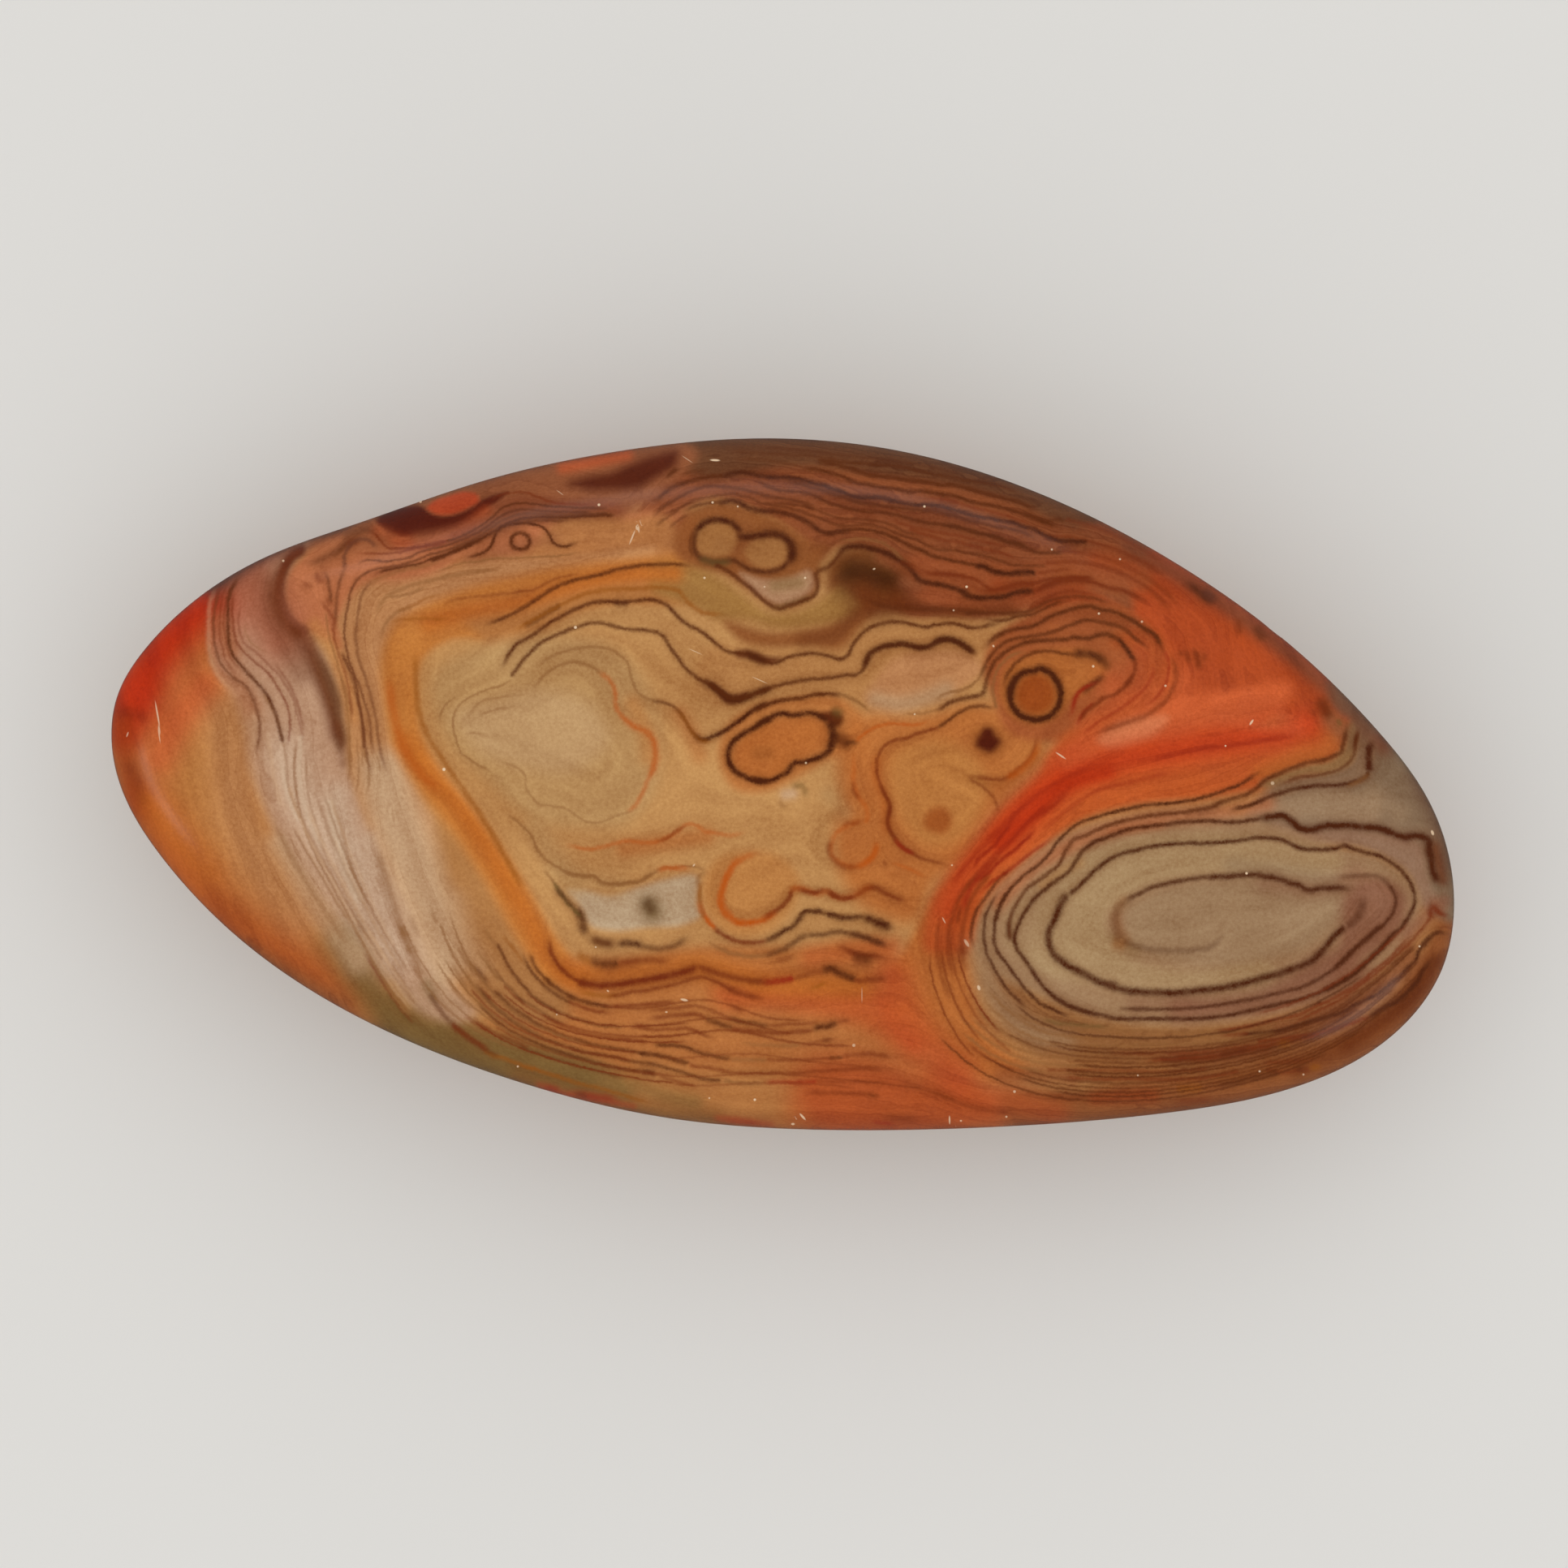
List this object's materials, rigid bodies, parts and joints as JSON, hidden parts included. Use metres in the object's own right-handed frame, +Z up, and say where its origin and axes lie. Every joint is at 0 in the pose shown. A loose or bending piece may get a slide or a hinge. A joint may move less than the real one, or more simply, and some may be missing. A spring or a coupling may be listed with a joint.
{
  "type": "banded agate pebble",
  "caption": "Polished banded agate pebble with a domed face, rounded girdle and a small ground flat to rest on.",
  "frame": {"origin": "middle of the stone's box, on the flat it rests on", "axes": "+X along its length towards the end with the oval eye, +Z up out of the domed face"},
  "size_m": [0.055, 0.028, 0.0132],
  "materials": {
    "agate": "polished, with orange, red and cream zones and dark brown bands"
  },
  "bodies": {
    "root": {"agate": "agate"}
  },
  "joints": []
}
